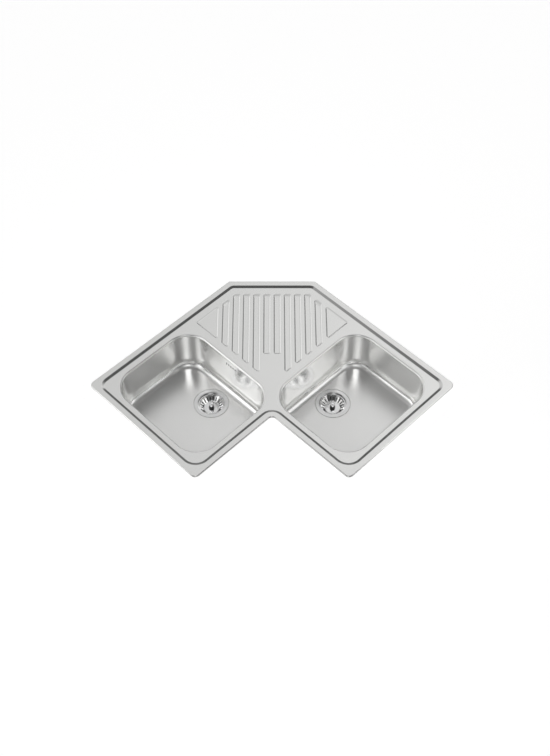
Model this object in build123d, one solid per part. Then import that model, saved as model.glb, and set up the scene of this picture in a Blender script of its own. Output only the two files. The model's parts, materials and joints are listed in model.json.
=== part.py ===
from build123d import *
from math import cos, radians, sin, sqrt, tan
import os

# Corner kitchen sink for a worktop corner, in millimetres.
# Plan places are given as (u, v): u is the distance from the room corner along the left wall, v along the right wall.
# In the model +X runs along the right wall, -Y along the left wall and +Z up. The worktop surface is Z = 0.

# ---- driving dimensions: plan of the deck, which is laid out round the bowls ----
corner_cut = 207.0         # length that the rear chamfer takes off each wall edge
chamfer_radius = 12.0      # outline corners
end_radius = 17.0
front_radius = 17.0
notch_radius = 15.0

# ---- driving dimensions: section of the rim ----
sheet = 1.0                # thickness of the pressed steel
rim_height = 4.5           # top of the raised band above the worktop
deck_height = 1.0          # top of the deck plane above the worktop
lip_radius = 3.0           # rounding where the band turns down
band_width = 19.5          # from the outer edge to the top of the step
step_run = 9.5             # width of the sloped step
step_radius = 4.0          # rounding along both sides of the step
well_front_radius = 42.0   # corners of the deck plane inside the step
well_end_radius = 25.0
well_chamfer_radius = 15.0
least_radius = 2.0         # of an inner outline's corners
seal_edge = 4.0            # rim seal, from the outer edge
seal_width = 8.0

# ---- driving dimensions: bowls ----
bowl_long = 410.0          # opening across the wing
bowl_short = 350.0         # opening along the wall
bowl_back_margin = 47.0    # deck between the opening and the wall edge
bowl_end_margin = 43.0     # deck between the opening and the outer end of the wing
bowl_front_margin = 43.0   # deck between the opening and the front edge
bowl_stagger = 20.0        # how far the nearest corners of the two openings pass each other in plan
bowl_corner_radius = 85.0
bowl_depth = 150.0         # rim band top to bowl floor
bowl_lead_in = 6.0         # rounding from the deck into the bowl
bowl_draft = 2.0           # degrees
bowl_floor_radius = 25.0
drain_from_inner_side = 96.0   # from the drainer side of the opening
drain_from_back = 201.5        # from the wall side of the opening

# ---- driving dimensions: drainer ----
groove_count = 10
groove_pitch = 34.4
groove_width = 25.0
groove_depth = 2.5
groove_draft = 56.0        # degrees
groove_corner_radius = 7.0
drainer_inset = 50.0       # pattern edge from the wall edges and the chamfer
drainer_bowl_gap = 26.0    # pattern edge from the bowl openings
centre_groove_end = 460.0  # front end of the two centre grooves, from the room corner
panel_gap = 24.0           # from the middle of the outermost groove to the side panel

# ---- driving dimensions: overflow ----
slot_count = 5
slot_pitch = 10.0
slot_width = 3.5
slot_height = 9.0
slot_depth_below_worktop = 26.0
slots_from_back = 206.5    # middle slot, from the wall side of the opening
housing_width = 70.0
housing_height = 34.0
housing_depth = 18.0
housing_wall = 2.0
gasket_thickness = 2.0
stud_radius = 2.0
stud_spacing = 60.0
stud_length = 9.0
overflow_pipe_radius = 11.0
overflow_pipe_wall = 1.8
pipe_bend_radius = 24.0
pipe_end_gap = 2.0         # between the pipe's end and the housing it is pushed up to
housing_corner = 6.0
housing_flange = 2.5
chamber_width = 46.0
chamber_height = 18.0
spout_length = 14.0
overflow_nut_size = 7.0    # across flats
overflow_nut_height = 3.2

# ---- driving dimensions: wastes ----
mouth_radius = 44.0
flange_width = 13.0        # round the mouth
flange_thickness = 1.2
ledge_width = 2.5          # that the basket's rim sits on
cup_depth = 28.8
floor_hole_clearance = 0.8 # round the flange's cup
upper_gasket = 1.4
lower_gasket = 2.5
gasket_inset = 1.0         # of the lower gasket, from the body's flange and from the floor's hole
outlet_hole_radius = 27.0
hub_drop = 3.7
hub_radius = 7.0
hub_arm_width = 5.0
screw_radius = 3.0
screw_head_radius = 5.5
body_clearance = 1.8       # waste body's inside, from the flange's cup
body_wall = 3.0
body_flange_width = 10.0
body_depth = 40.0
cone_depth = 14.0
outlet_bore = 20.0
outlet_wall = 3.9
outlet_length = 24.0
inlet_length = 26.0
inlet_depth = 24.0         # inlet axis below the bowl floor
seat_margin = 1.5          # of the bowl floor's seat round the flange
mouth_rounding = 2.0
hub_sheet = 1.5
screw_head_height = 3.0
boss_length = 16.0
rib_count = 3
rib_thickness = 3.0
rib_height = 8.0
rib_drop = 4.0             # ribs below the boss's top
flange_lug_count = 12
lug_height = 8.0

# ---- driving dimensions: baskets ----
basket_sheet = 0.8
basket_rim_depth = 5.4
basket_wall_depth = 11.0
basket_floor_radius = 25.0
basket_floor_depth = 24.0
basket_slots = 20
basket_slot_width = 3.6
knob_radius = 6.2
knob_top_depth = 1.5
knob_rounding = 3.0
collar_wall = 2.3
collar_height = 9.0
plug_lap = 2.5             # of the plug over the outlet hole's edge
plug_bevel = 3.0
plug_skin = 1.0            # rubber left under the stem and at the plug's edge
stem_radius = 3.0
collar_rounding = 2.0
basket_clearance = 1.0     # basket wall to cup wall
basket_slot_margin = 1.5

# ---- driving dimensions: clips ----
clip_from_step = 1.0       # clip screw axis, inside the foot of the step
clip_height = 54.0
clip_width = 22.0
bracket_sheet = 2.0
clip_screw_radius = 2.5
clip_head_radius = 5.0
clip_head_height = 4.0
clip_collar_radius = 4.4
clip_collar_height = 1.5
nut_width = 13.0
nut_depth = 12.0
nut_height = 4.0
nut_sleeve_radius = 4.5
nut_lip = 0.7
nut_lip_height = 1.0
jaw_length = 30.0
jaw_width = 11.0
jaw_sheet = 2.5
jaw_tooth = 5.0
jaw_teeth = 3
clip_from_chamfer = 93.0   # rear clips, from the ends of the wall edge
clip_from_end = 140.0
clip_front_from_end = 165.0    # front clip, from the outer end of the wing
bracket_overhang = 1.0     # of the bracket's plates past the nut
small_rounding = 1.0       # heads, nuts and lips
driver_slot = 1.2          # width of a screw head's cross recess
driver_slot_depth = 1.4

pad_long = 250.0
pad_short = 110.0
pad_thickness = 2.0
pad_corner_radius = 10.0

seat_gap = 0.3             # air left where a loose piece is seated
running_gap = 0.05         # radial clearance of shafts and threads
past = 1.0                 # how far a cutter reaches past what it cuts

# ---- worked out from the above ----
floor_z = rim_height - bowl_depth
bowl_v0 = bowl_back_margin
bowl_v1 = bowl_v0 + bowl_long
bowl_u0 = bowl_v1 - bowl_stagger
bowl_u1 = bowl_u0 + bowl_short
overall = bowl_u1 + bowl_end_margin            # length along each wall
wing_depth = bowl_v1 + bowl_front_margin       # front to back of each wing
seal_middle = seal_edge + seal_width / 2
origin_offset = corner_cut / 2 + seal_middle / sqrt(2)
well_inset = band_width + step_run
clip_from_edge = well_inset + clip_from_step
cup_radius = mouth_radius - ledge_width
flange_radius = mouth_radius + flange_width
floor_hole_radius = mouth_radius + flange_thickness + floor_hole_clearance
body_radius = mouth_radius + flange_thickness + body_clearance + body_wall
body_flange_radius = body_radius + body_flange_width
outlet_radius = outlet_bore + outlet_wall
plug_radius = outlet_hole_radius + plug_lap
collar_radius = knob_radius + collar_wall
mirror_plane = Plane(origin=(0, 0, 0), z_dir=(1, 1, 0))


def place(u, v, z=0.0):
    """Model position of a plan place: the origin is on the seat, at the middle of the rear chamfer."""
    return Vector(v - origin_offset, origin_offset - u, z)


def mirrored(shape):
    """The same piece on the other wing."""
    return mirror(shape, about=mirror_plane)


def outline(inset, z, chamfer_r, end_r, front_r, notch_r):
    """Plan outline of the deck, set in by a distance, as a face at height z."""
    rear = corner_cut + inset * (sqrt(2) - 1)
    left_half = [
        ((rear, inset), chamfer_r),
        ((overall - inset, inset), end_r),
        ((overall - inset, wing_depth - inset), front_r),
    ]
    corners = list(left_half)
    corners.append(((wing_depth - inset, wing_depth - inset), notch_r))
    corners += [((v, u), r) for (u, v), r in reversed(left_half)]
    points = [place(u, v, z) for (u, v), _ in corners]
    face = make_face(Polyline(*points, close=True))
    for point, (_, radius) in zip(points, corners):
        corner = face.vertices().sort_by(lambda vertex: (Vector(vertex) - point).length)[0]
        face = fillet(corner, radius)
    return face


def rim_outline(inset, z):
    """Outline concentric with the deck's outer edge."""
    radii = [max(radius - inset, least_radius) for radius in (chamfer_radius, end_radius, front_radius)]
    return outline(inset, z, *radii, notch_radius + inset)


def well_outline(grow, z):
    """Outline of the deck plane inside the step, grown outwards by a distance."""
    return outline(
        well_inset - grow,
        z,
        well_chamfer_radius + grow,
        well_end_radius + grow,
        well_front_radius + grow,
        notch_radius + well_inset - grow,
    )


def prism(face, height):
    return extrude(face, amount=height, dir=(0, 0, 1))


def disc(radius, z0, z1):
    return Pos(0, 0, z0) * Cylinder(radius, z1 - z0, align=(Align.CENTER, Align.CENTER, Align.MIN))


def turned(points):
    """A solid of revolution about Z from (radius, height) points."""
    profile = make_face(Polyline(*[(r, 0, z) for r, z in points], close=True))
    return revolve(profile, axis=Axis.Z)


def edges_at(shape, z):
    return shape.edges().filter_by_position(Axis.Z, z - 0.01, z + 0.01)


# ---------------------------------------------------------------- deck

def well(skin):
    """The sunk middle of the deck as a solid of air; skin shifts its surface down by a sheet's thickness."""
    slope = step_run / (rim_height - deck_height)
    grow = skin * (sqrt(1 + slope * slope) - slope)
    bottom = deck_height - skin
    solid = loft([well_outline(grow, bottom), well_outline(grow + step_run, rim_height - skin)], ruled=True)
    return fillet(edges_at(solid, bottom), step_radius)


def rounded_opening(u0, u1, v0, v1, radius, inset, z):
    """A bowl-shaped rectangle with rounded corners, set in by a distance, as a face at height z."""
    middle = place((u0 + u1) / 2, (v0 + v1) / 2, z)
    rectangle = RectangleRounded(v1 - v0 - 2 * inset, u1 - u0 - 2 * inset, radius - inset)
    return Pos(*middle) * rectangle


def left_opening(inset, z):
    return rounded_opening(bowl_u0, bowl_u1, bowl_v0, bowl_v1, bowl_corner_radius, inset, z)


def across(x, y):
    """Plan place from a distance x right of the sink's axis of symmetry and y out from the room corner."""
    return place((y - x) / sqrt(2), (y + x) / sqrt(2))


def drainer_zone(limit_x0, limit_x1, front):
    """The strip of the drainer between two lines parallel to the axis, as plan points."""
    side_end = bowl_u0 - drainer_bowl_gap

    def back(x):
        return max(corner_cut / sqrt(2) + drainer_inset, abs(x) + drainer_inset * sqrt(2))

    def end(x):
        return min(front, side_end * sqrt(2) - abs(x))

    flat_back = corner_cut / sqrt(2) + drainer_inset
    bend = flat_back - drainer_inset * sqrt(2)
    points = [(limit_x0, back(limit_x0))]
    if limit_x0 < bend < limit_x1:
        points.append((bend, flat_back))
    points += [(limit_x1, back(limit_x1)), (limit_x1, end(limit_x1))]
    points.append((limit_x0, end(limit_x0)))
    return points


def sunk_panel(points, skin):
    """A shallow pressing with sloped sides; skin makes it the outside of the sheet."""
    corners = [across(x, y) for x, y in points]
    face = make_face(Polyline(*[(c.X, c.Y, deck_height) for c in corners], close=True))
    face = fillet(face.vertices(), groove_corner_radius)
    if skin:
        face = Pos(0, 0, -skin) * offset(face, skin * tan(radians(groove_draft / 2)), kind=Kind.ARC)
    return extrude(face, amount=groove_depth, dir=(0, 0, -1), taper=groove_draft)


def drainer_pressings(skin):
    """All grooves and side panels of one half of the drainer."""
    shapes = []
    for number in range(groove_count // 2):
        middle = groove_pitch * (number + 0.5)
        front = centre_groove_end if number == 0 else overall
        zone = drainer_zone(middle - groove_width / 2, middle + groove_width / 2, front)
        shapes.append(sunk_panel(zone, skin))
    panel_start = groove_pitch * (groove_count / 2 - 0.5) + panel_gap
    side_end = bowl_u0 - drainer_bowl_gap
    tip = (side_end - drainer_inset) / sqrt(2)
    tip_y = (side_end + drainer_inset) / sqrt(2)
    points = [
        (panel_start, panel_start + drainer_inset * sqrt(2)),
        (tip, tip_y),
        (panel_start, side_end * sqrt(2) - panel_start),
    ]
    shapes.append(sunk_panel(points, skin))
    return shapes


def both_halves(shapes):
    return shapes + [mirrored(shape) for shape in shapes]


def make_deck():
    body = prism(rim_outline(0, 0), rim_height)
    body = fillet(edges_at(body, rim_height), lip_radius)
    body = body - well(0)
    under = prism(rim_outline(sheet, 0), rim_height - sheet)
    under = fillet(edges_at(under, rim_height - sheet), lip_radius - sheet)
    under = under - well(sheet)
    body = body - under
    outside = both_halves(drainer_pressings(sheet))
    inside = both_halves(drainer_pressings(0))
    for shape in outside:
        body = body + shape
    for shape in inside:
        body = body - shape
    hole = prism(left_opening(0, -past), rim_height + 2 * past)
    return body - hole - mirrored(hole)


def make_seal():
    ring = prism(rim_outline(seal_edge, 0), rim_height - sheet)
    return ring - prism(rim_outline(seal_edge + seal_width, -past), rim_height + past)


# ---------------------------------------------------------------- bowls

def bowl_solid(skin):
    """The left bowl as a solid of air, or with skin its outside, from the deck plane down."""
    top = deck_height - skin
    rim = prism(left_opening(0, top), sheet)
    throat = left_opening(bowl_lead_in - skin, top)
    pot = extrude(throat, amount=top - floor_z + skin, dir=(0, 0, -1), taper=bowl_draft)
    solid = fillet(edges_at(pot, floor_z - skin), bowl_floor_radius + skin) + rim
    loop = [edge for edge in edges_at(solid, top) if is_throat_edge(edge, top, skin)]
    return fillet(loop, bowl_lead_in - skin)


def bowl_middle(z):
    return place((bowl_u0 + bowl_u1) / 2, (bowl_v0 + bowl_v1) / 2, z)


def is_throat_edge(edge, z, skin):
    """Whether an edge at height z belongs to the throat rather than to the wider rim."""
    half_x = bowl_long / 2 - (bowl_lead_in - skin) / 2
    half_y = bowl_short / 2 - (bowl_lead_in - skin) / 2
    corner = bowl_corner_radius - (bowl_lead_in - skin) / 2
    middle = edge.position_at(0.5) - bowl_middle(z)
    dx = max(abs(middle.X) - half_x + corner, 0)
    dy = max(abs(middle.Y) - half_y + corner, 0)
    return sqrt(dx * dx + dy * dy) < corner


def drain_place(z=0.0):
    return place(bowl_u0 + drain_from_inner_side, bowl_v0 + drain_from_back, z)


def make_left_bowl(slots):
    """The pressed bowl with its sunk seat for the waste, and overflow slots if it has them."""
    seat_depth = flange_thickness + upper_gasket
    seat_radius = flange_radius + seat_margin
    drain = Pos(*drain_place(floor_z))
    shell = bowl_solid(sheet) + drain * disc(seat_radius + sheet, -seat_depth - sheet, 0)
    shell = shell - bowl_solid(0) - drain * disc(seat_radius, -seat_depth, seat_depth)
    shell = shell - drain * disc(floor_hole_radius, -seat_depth - 2 * sheet, 0)
    if slots:
        for number in range(slot_count):
            shell = shell - overflow_slot(number - (slot_count - 1) / 2)
    return shell


def overflow_slot(number):
    """The cutter for one upright slot, counted from the middle one."""
    middle = place(bowl_u0 + bowl_lead_in, bowl_v0 + slots_from_back + number * slot_pitch, -slot_depth_below_worktop)
    slot = extrude(SlotOverall(slot_height, slot_width, rotation=90), amount=4 * sheet, both=True)
    return Pos(*middle) * Rot(90, 0, 0) * slot


def make_pad():
    """Sound-deadening pad under the bowl floor, between the waste and the outer end."""
    near = bowl_u0 + drain_from_inner_side + body_flange_radius
    far = bowl_u1 - bowl_lead_in - bowl_floor_radius
    middle = place((near + far) / 2, (bowl_v0 + bowl_v1) / 2, floor_z - sheet - pad_thickness)
    return Pos(*middle) * extrude(RectangleRounded(pad_long, pad_short, pad_corner_radius), amount=pad_thickness)


# ---------------------------------------------------------------- wastes, about the drain axis with Z = 0 at the floor

def make_waste_flange():
    """Strainer flange and cup with the cross that takes the clamping screw."""
    ledge = basket_rim_depth + basket_sheet + seat_gap
    t = flange_thickness
    lip = mouth_rounding
    cup = turned([
        (flange_radius, 0), (mouth_radius + lip, 0), (mouth_radius + lip * 0.3, -lip * 0.3), (mouth_radius, -lip),
        (mouth_radius, -ledge), (cup_radius, -ledge), (cup_radius - t, -cup_depth),
        (outlet_hole_radius, -cup_depth), (outlet_hole_radius, -cup_depth - hub_drop - hub_sheet),
        (outlet_hole_radius + t, -cup_depth - hub_drop - hub_sheet), (outlet_hole_radius + t, -cup_depth - t),
        (cup_radius, -cup_depth - t), (cup_radius + t, -ledge - t), (mouth_radius + t, -ledge - t),
        (mouth_radius + t, -t), (flange_radius, -t),
    ])
    hub_bottom = -cup_depth - hub_drop - hub_sheet
    arm = Pos(0, 0, hub_bottom + hub_sheet / 2) * Box(2 * outlet_hole_radius + t, hub_arm_width, hub_sheet)
    cup = cup + arm + Rot(0, 0, 90) * arm + disc(hub_radius, hub_bottom, hub_bottom + hub_sheet)
    return cup - disc(screw_radius + running_gap, hub_bottom - past, 0)


def washer(outer, inner, z0, z1):
    return disc(outer, z0, z1) - disc(inner, z0 - past, z1 + past)


def make_flange_gasket():
    return washer(flange_radius, floor_hole_radius, -flange_thickness - upper_gasket, -flange_thickness)


def body_top():
    return -flange_thickness - upper_gasket - sheet - lower_gasket


def make_body_gasket():
    outer, inner = body_flange_radius - gasket_inset, floor_hole_radius + gasket_inset
    return washer(outer, inner, body_top(), body_top() + lower_gasket)


def make_waste_body(inlet):
    """Lower half of the waste: a cup under the bowl with ribs and screw boss, and the outlet spigot."""
    top = body_top()
    cone_top = -body_depth
    cone_bottom = cone_top - cone_depth
    end = cone_bottom - outlet_length
    inner = body_radius - body_wall
    body = turned([
        (body_flange_radius, top), (inner, top), (inner, cone_top), (outlet_bore, cone_bottom), (outlet_bore, end),
        (outlet_radius, end), (outlet_radius, cone_bottom - body_wall), (body_radius, cone_top - body_wall / 2),
        (body_radius, top - body_wall), (body_flange_radius, top - body_wall),
    ])
    boss_top = -cup_depth - hub_drop - hub_sheet
    for number in range(rib_count):
        rib = Box(inner + body_wall / 2, rib_thickness, rib_height, align=(Align.MIN, Align.CENTER, Align.MAX))
        body = body + Rot(0, 0, 90 + number * 360 / rib_count) * Pos(0, 0, boss_top - rib_drop) * rib
    body = body + disc(hub_radius, boss_top - boss_length, boss_top)
    body = body - disc(screw_radius + running_gap, boss_top - boss_length - past, boss_top + past)
    for number in range(flange_lug_count):
        angle = 360 / flange_lug_count * (number + 0.5)
        lug = Box(2 * body_flange_width, rib_thickness, lug_height, align=(Align.CENTER, Align.CENTER, Align.MAX))
        lug = Pos(body_radius, 0, top - body_wall) * lug
        body = body + Rot(0, 0, angle) * lug - disc(inner, top - body_wall - lug_height, top)
    if inlet:
        spigot_radius = overflow_pipe_radius - overflow_pipe_wall - seat_gap
        start = Pos(0, 0, inlet_z() - floor_z) * Rot(-90, 0, 0)
        reach = body_radius + inlet_length
        body = body + start * disc(spigot_radius, inner + body_wall / 2, reach)
        body = body - start * disc(spigot_radius - housing_wall, inner - past, reach + past)
    return body


def cross_recess(reach):
    """Cutter for the cross in a screw head, about the top of the head."""
    slot = Box(2 * reach, driver_slot, 2 * driver_slot_depth)
    return slot + Rot(0, 0, 90) * slot


def make_waste_screw():
    """Pan-head screw through the cup's cross into the body's boss."""
    seat = -cup_depth - hub_drop
    head = disc(screw_head_radius, seat, seat + screw_head_height)
    head = fillet(edges_at(head, seat + screw_head_height), small_rounding)
    shank = disc(screw_radius, seat - hub_sheet - boss_length, seat)
    recess = Pos(0, 0, seat + screw_head_height) * cross_recess(screw_radius)
    return head + shank - recess


# ---------------------------------------------------------------- baskets, built like the wastes

def make_basket():
    """Slotted dish with a rim that sits on the cup's ledge."""
    rim = mouth_radius - seat_gap
    wall = cup_radius - basket_clearance
    t = basket_sheet
    slant = t * sqrt(2)
    dish = turned([
        (rim, -basket_rim_depth), (wall - t, -basket_rim_depth), (wall - 2 * t, -basket_wall_depth + slant - t),
        (basket_floor_radius, -basket_floor_depth), (0, -basket_floor_depth), (0, -basket_floor_depth - t),
        (basket_floor_radius, -basket_floor_depth - t), (wall - t, -basket_wall_depth),
        (wall, -basket_rim_depth - t), (rim, -basket_rim_depth - t),
    ])
    start = basket_floor_radius + basket_slot_margin
    end = wall - 2 * t - basket_slot_margin
    middle = (start + end) / 2
    cutter = extrude(SlotOverall(end - start, basket_slot_width), amount=basket_floor_depth)
    for number in range(basket_slots):
        dish = dish - Rot(0, 0, number * 360 / basket_slots) * Pos(middle, 0, -basket_floor_depth - past) * cutter
    return dish - disc(stem_radius + running_gap, -basket_floor_depth - t - past, 0)


def plug_bottom():
    return -cup_depth + seat_gap


def make_knob():
    """Bright post with a domed top, and the stem that carries the plug."""
    top = -knob_top_depth
    foot = -basket_floor_depth
    post = fillet(edges_at(disc(knob_radius, foot, top), top), knob_rounding)
    return post + disc(stem_radius, plug_bottom() + plug_skin, foot)


def make_collar():
    """Dark rubber ring round the foot of the post."""
    ring = washer(collar_radius, knob_radius + running_gap, -basket_floor_depth, -basket_floor_depth + collar_height)
    rims = edges_at(ring, -basket_floor_depth + collar_height).sort_by(SortBy.RADIUS)
    return fillet(rims[-1], collar_rounding)


def make_plug():
    """Rubber disc under the basket that closes the outlet."""
    top = -basket_floor_depth - basket_sheet
    bottom = plug_bottom()
    rubber = turned([
        (0, top), (plug_radius - plug_bevel, top), (plug_radius, bottom + plug_skin), (plug_radius, bottom),
        (0, bottom),
    ])
    return rubber - disc(stem_radius + running_gap, bottom + plug_skin, top + past)


# ---------------------------------------------------------------- overflow of the left bowl

def wall_plane():
    """Plane on the dry side of the drafted bowl wall at the slots: X along the wall, Z away from the bowl."""
    drop = slot_depth_below_worktop + deck_height - sheet
    inset = bowl_lead_in - sheet + drop * tan(radians(bowl_draft))
    origin = place(bowl_u0 + inset, bowl_v0 + slots_from_back, -slot_depth_below_worktop)
    normal = Vector(0, cos(radians(bowl_draft)), -sin(radians(bowl_draft)))
    return Plane(origin=origin, x_dir=(-1, 0, 0), z_dir=normal)


def stud_places():
    return [Pos(side * stud_spacing / 2, 0, 0) for side in (-1, 1)]


def make_overflow_gasket():
    plate = extrude(RectangleRounded(housing_width, housing_height, housing_corner), amount=gasket_thickness)
    window = extrude(RectangleRounded(chamber_width, chamber_height, housing_corner / 2), amount=gasket_thickness)
    plate = plate - window
    for spot in stud_places():
        plate = plate - spot * disc(stud_radius + seat_gap, -past, gasket_thickness + past)
    return wall_plane().location * plate


def make_overflow_housing():
    """Chamber behind the slots with a flange for the studs and a spout that points down."""
    base = gasket_thickness
    flange = extrude(RectangleRounded(housing_width, housing_height, housing_corner), amount=housing_flange)
    box = extrude(
        RectangleRounded(chamber_width + 2 * housing_wall, chamber_height + 2 * housing_wall, housing_corner),
        amount=housing_depth,
    )
    box = fillet(edges_at(box, housing_depth), housing_wall)
    room = RectangleRounded(chamber_width, chamber_height, housing_corner / 2)
    room = extrude(room, amount=housing_depth - housing_wall)
    for spot in stud_places():
        flange = flange - spot * disc(stud_radius + seat_gap, -past, housing_flange + past)
    plane = wall_plane()
    housing = plane.location * (Pos(0, 0, base) * (flange + box))
    room = plane.location * (Pos(0, 0, base) * room)
    spout_radius = overflow_pipe_radius - overflow_pipe_wall - seat_gap
    top = -slot_depth_below_worktop - chamber_height / 2
    spout = Pos(pipe_x(), pipe_y(), 0) * disc(spout_radius, spout_end(), top)
    bore = Pos(pipe_x(), pipe_y(), 0) * disc(spout_radius - housing_wall, spout_end() - past, top + past)
    return housing + spout - room - bore


def pipe_x():
    return drain_place().X


def pipe_y():
    return wall_plane().origin.Y + gasket_thickness + housing_depth / 2


def spout_end():
    return -slot_depth_below_worktop - housing_height / 2 - spout_length


def inlet_z():
    return floor_z - inlet_depth


def make_overflow_pipe():
    """Rigid pipe from the housing's spout down and across to the waste body's inlet."""
    x, y = pipe_x(), pipe_y()
    top = Vector(x, y, spout_end() + spout_length - pipe_end_gap)
    corner = Vector(x, y, inlet_z())
    end = Vector(x, drain_place().Y + body_radius + 2 * pipe_end_gap, inlet_z())
    path = FilletPolyline(top, corner, end, radius=pipe_bend_radius)
    start = Plane(origin=top, z_dir=(0, 0, -1))
    outside = sweep(start * Circle(overflow_pipe_radius), path=path)
    inside = sweep(start * Circle(overflow_pipe_radius - overflow_pipe_wall), path=path)
    return outside - inside


def make_overflow_studs():
    studs = [spot * disc(stud_radius, 0, stud_length) for spot in stud_places()]
    return Compound(children=[wall_plane().location * stud for stud in studs])


def make_overflow_nuts():
    base = gasket_thickness + housing_flange
    nut = extrude(RegularPolygon(overflow_nut_size / 2, 6, major_radius=False), amount=overflow_nut_height)
    nut = Pos(0, 0, base) * nut - disc(stud_radius + running_gap, base - past, base + overflow_nut_height + past)
    return Compound(children=[wall_plane().location * (spot * nut) for spot in stud_places()])


# ---------------------------------------------------------------- clips, built with Y outwards and Z = 0 under the deck

def clip_places():
    """Screw axes and turns of the clips: on the right wing's rear, end and front, and mirrored on the left wing."""
    d = clip_from_edge
    quarter = 90
    right = [
        (d, corner_cut + clip_from_chamfer, 0),
        (d, overall - clip_from_end, 0),
        (wing_depth / 2, overall - d, -quarter),
        (wing_depth - d, overall - clip_front_from_end, 2 * quarter),
    ]
    left = [(v, u, quarter - turn) for u, v, turn in right]
    top = deck_height - sheet
    return [Pos(*place(u, v, top)) * Rot(0, 0, turn) for u, v, turn in right + left]


def make_bracket():
    """Welded channel: top plate under the deck, back leg, and a foot that holds the screw."""
    back = nut_depth / 2 + seat_gap
    front = nut_depth / 2 + bracket_overhang
    t = bracket_sheet
    section = make_face(Polyline(
        (front, 0), (-back - t, 0), (-back - t, -clip_height), (front, -clip_height), (front, -clip_height + t),
        (-back, -clip_height + t), (-back, -t), (front, -t), close=True,
    ))
    solid = extrude(Plane.YZ * section, amount=clip_width / 2, both=True)
    bends = solid.edges().filter_by(Axis.X).filter_by_position(Axis.Y, -back - t - 0.01, -back - t + 0.01)
    solid = fillet(bends, t)
    return solid - disc(clip_screw_radius + running_gap, -clip_height - past, -clip_height + t + past)


def make_clip_screw():
    """Screw with its head below the bracket's foot and a collar above it."""
    head_top = -clip_height - seat_gap
    collar_bottom = -clip_height + bracket_sheet + seat_gap
    head = disc(clip_head_radius, head_top - clip_head_height, head_top)
    head = fillet(edges_at(head, head_top - clip_head_height), small_rounding)
    shank = disc(clip_screw_radius, head_top, -bracket_sheet - seat_gap)
    collar = disc(clip_collar_radius, collar_bottom, collar_bottom + clip_collar_height)
    recess = Pos(0, 0, head_top - clip_head_height) * cross_recess(clip_screw_radius)
    return head + shank + collar - recess


def nut_bottom():
    return -clip_height + bracket_sheet + seat_gap + clip_collar_height + 2 * seat_gap


def make_clip_nut():
    """Square nut that slides along the bracket's leg, with a sleeve on which the jaw turns."""
    base = nut_bottom()
    block = Pos(0, 0, base) * Box(nut_width, nut_depth, nut_height, align=(Align.CENTER, Align.CENTER, Align.MIN))
    block = chamfer(block.edges().filter_by(Axis.Z), small_rounding)
    sleeve_top = base + nut_height + jaw_sheet + 2 * seat_gap
    sleeve = disc(nut_sleeve_radius, base + nut_height, sleeve_top)
    lip = disc(nut_sleeve_radius + nut_lip, sleeve_top, sleeve_top + nut_lip_height)
    return block + sleeve + lip - disc(clip_screw_radius + running_gap, base - past, sleeve_top + nut_lip_height + past)


def make_clip_jaw():
    """Swinging arm with toothed tip, parked along the rim."""
    base = nut_bottom() + nut_height + seat_gap
    tail = jaw_width / 2
    arm = disc(tail, base, base + jaw_sheet)
    arm = arm + Pos(0, 0, base) * Box(jaw_length, jaw_width, jaw_sheet, align=(Align.MIN, Align.CENTER, Align.MIN))
    tooth_step = jaw_width / jaw_teeth
    for number in range(jaw_teeth):
        y = (number + 0.5) * tooth_step - jaw_width / 2
        profile = make_face(Polyline(
            (-tooth_step / 2, 0), (tooth_step / 2, 0), (tooth_step / 2, jaw_tooth - tooth_step / 2),
            (0, jaw_tooth), (-tooth_step / 2, jaw_tooth - tooth_step / 2), close=True,
        ))
        tooth = extrude(Plane.YZ * profile, amount=jaw_sheet)
        arm = arm + Pos(jaw_length - jaw_sheet, y, base + jaw_sheet) * tooth
    return arm - disc(nut_sleeve_radius + running_gap, base - past, base + jaw_sheet + past)


# ---------------------------------------------------------------- the sink

def at_drain(shape):
    return Pos(*drain_place(floor_z)) * shape


def assemble():
    """Every piece by its name, at rest."""
    pieces = {"sink_deck": make_deck(), "rim_seal": make_seal()}
    pieces["left_bowl"] = make_left_bowl(slots=True)
    pieces["right_bowl"] = mirrored(make_left_bowl(slots=False))
    pieces["left_sound_pad"] = make_pad()
    pieces["left_waste_body"] = at_drain(make_waste_body(inlet=True))
    pieces["right_waste_body"] = mirrored(at_drain(make_waste_body(inlet=False)))
    alike = {
        "waste_flange": make_waste_flange(),
        "flange_gasket": make_flange_gasket(),
        "body_gasket": make_body_gasket(),
        "waste_screw": make_waste_screw(),
        "basket": make_basket(),
        "basket_knob": make_knob(),
        "knob_collar": make_collar(),
        "plug": make_plug(),
    }
    for name, shape in alike.items():
        pieces["left_" + name] = at_drain(shape)
    for name in ["sound_pad", *alike]:
        pieces["right_" + name] = mirrored(pieces["left_" + name])
    pieces["overflow_gasket"] = make_overflow_gasket()
    pieces["overflow_housing"] = make_overflow_housing()
    pieces["overflow_pipe"] = make_overflow_pipe()
    pieces["overflow_studs"] = make_overflow_studs()
    pieces["overflow_nuts"] = make_overflow_nuts()
    bracket, screw, nut, jaw = make_bracket(), make_clip_screw(), make_clip_nut(), make_clip_jaw()
    spots = clip_places()
    pieces["clip_brackets"] = Compound(children=[spot * bracket for spot in spots])
    for number, spot in enumerate(spots, start=1):
        pieces[f"clip_{number}_screw"] = spot * screw
        pieces[f"clip_{number}_nut"] = spot * nut
        pieces[f"clip_{number}_jaw"] = spot * jaw
    return pieces


def main():
    os.makedirs("parts", exist_ok=True)
    for name, shape in assemble().items():
        export_step(shape, f"parts/{name}.step")


main()
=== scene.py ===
import json
import math

import bpy
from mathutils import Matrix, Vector
from mathutils.geometry import delaunay_2d_cdt


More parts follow.
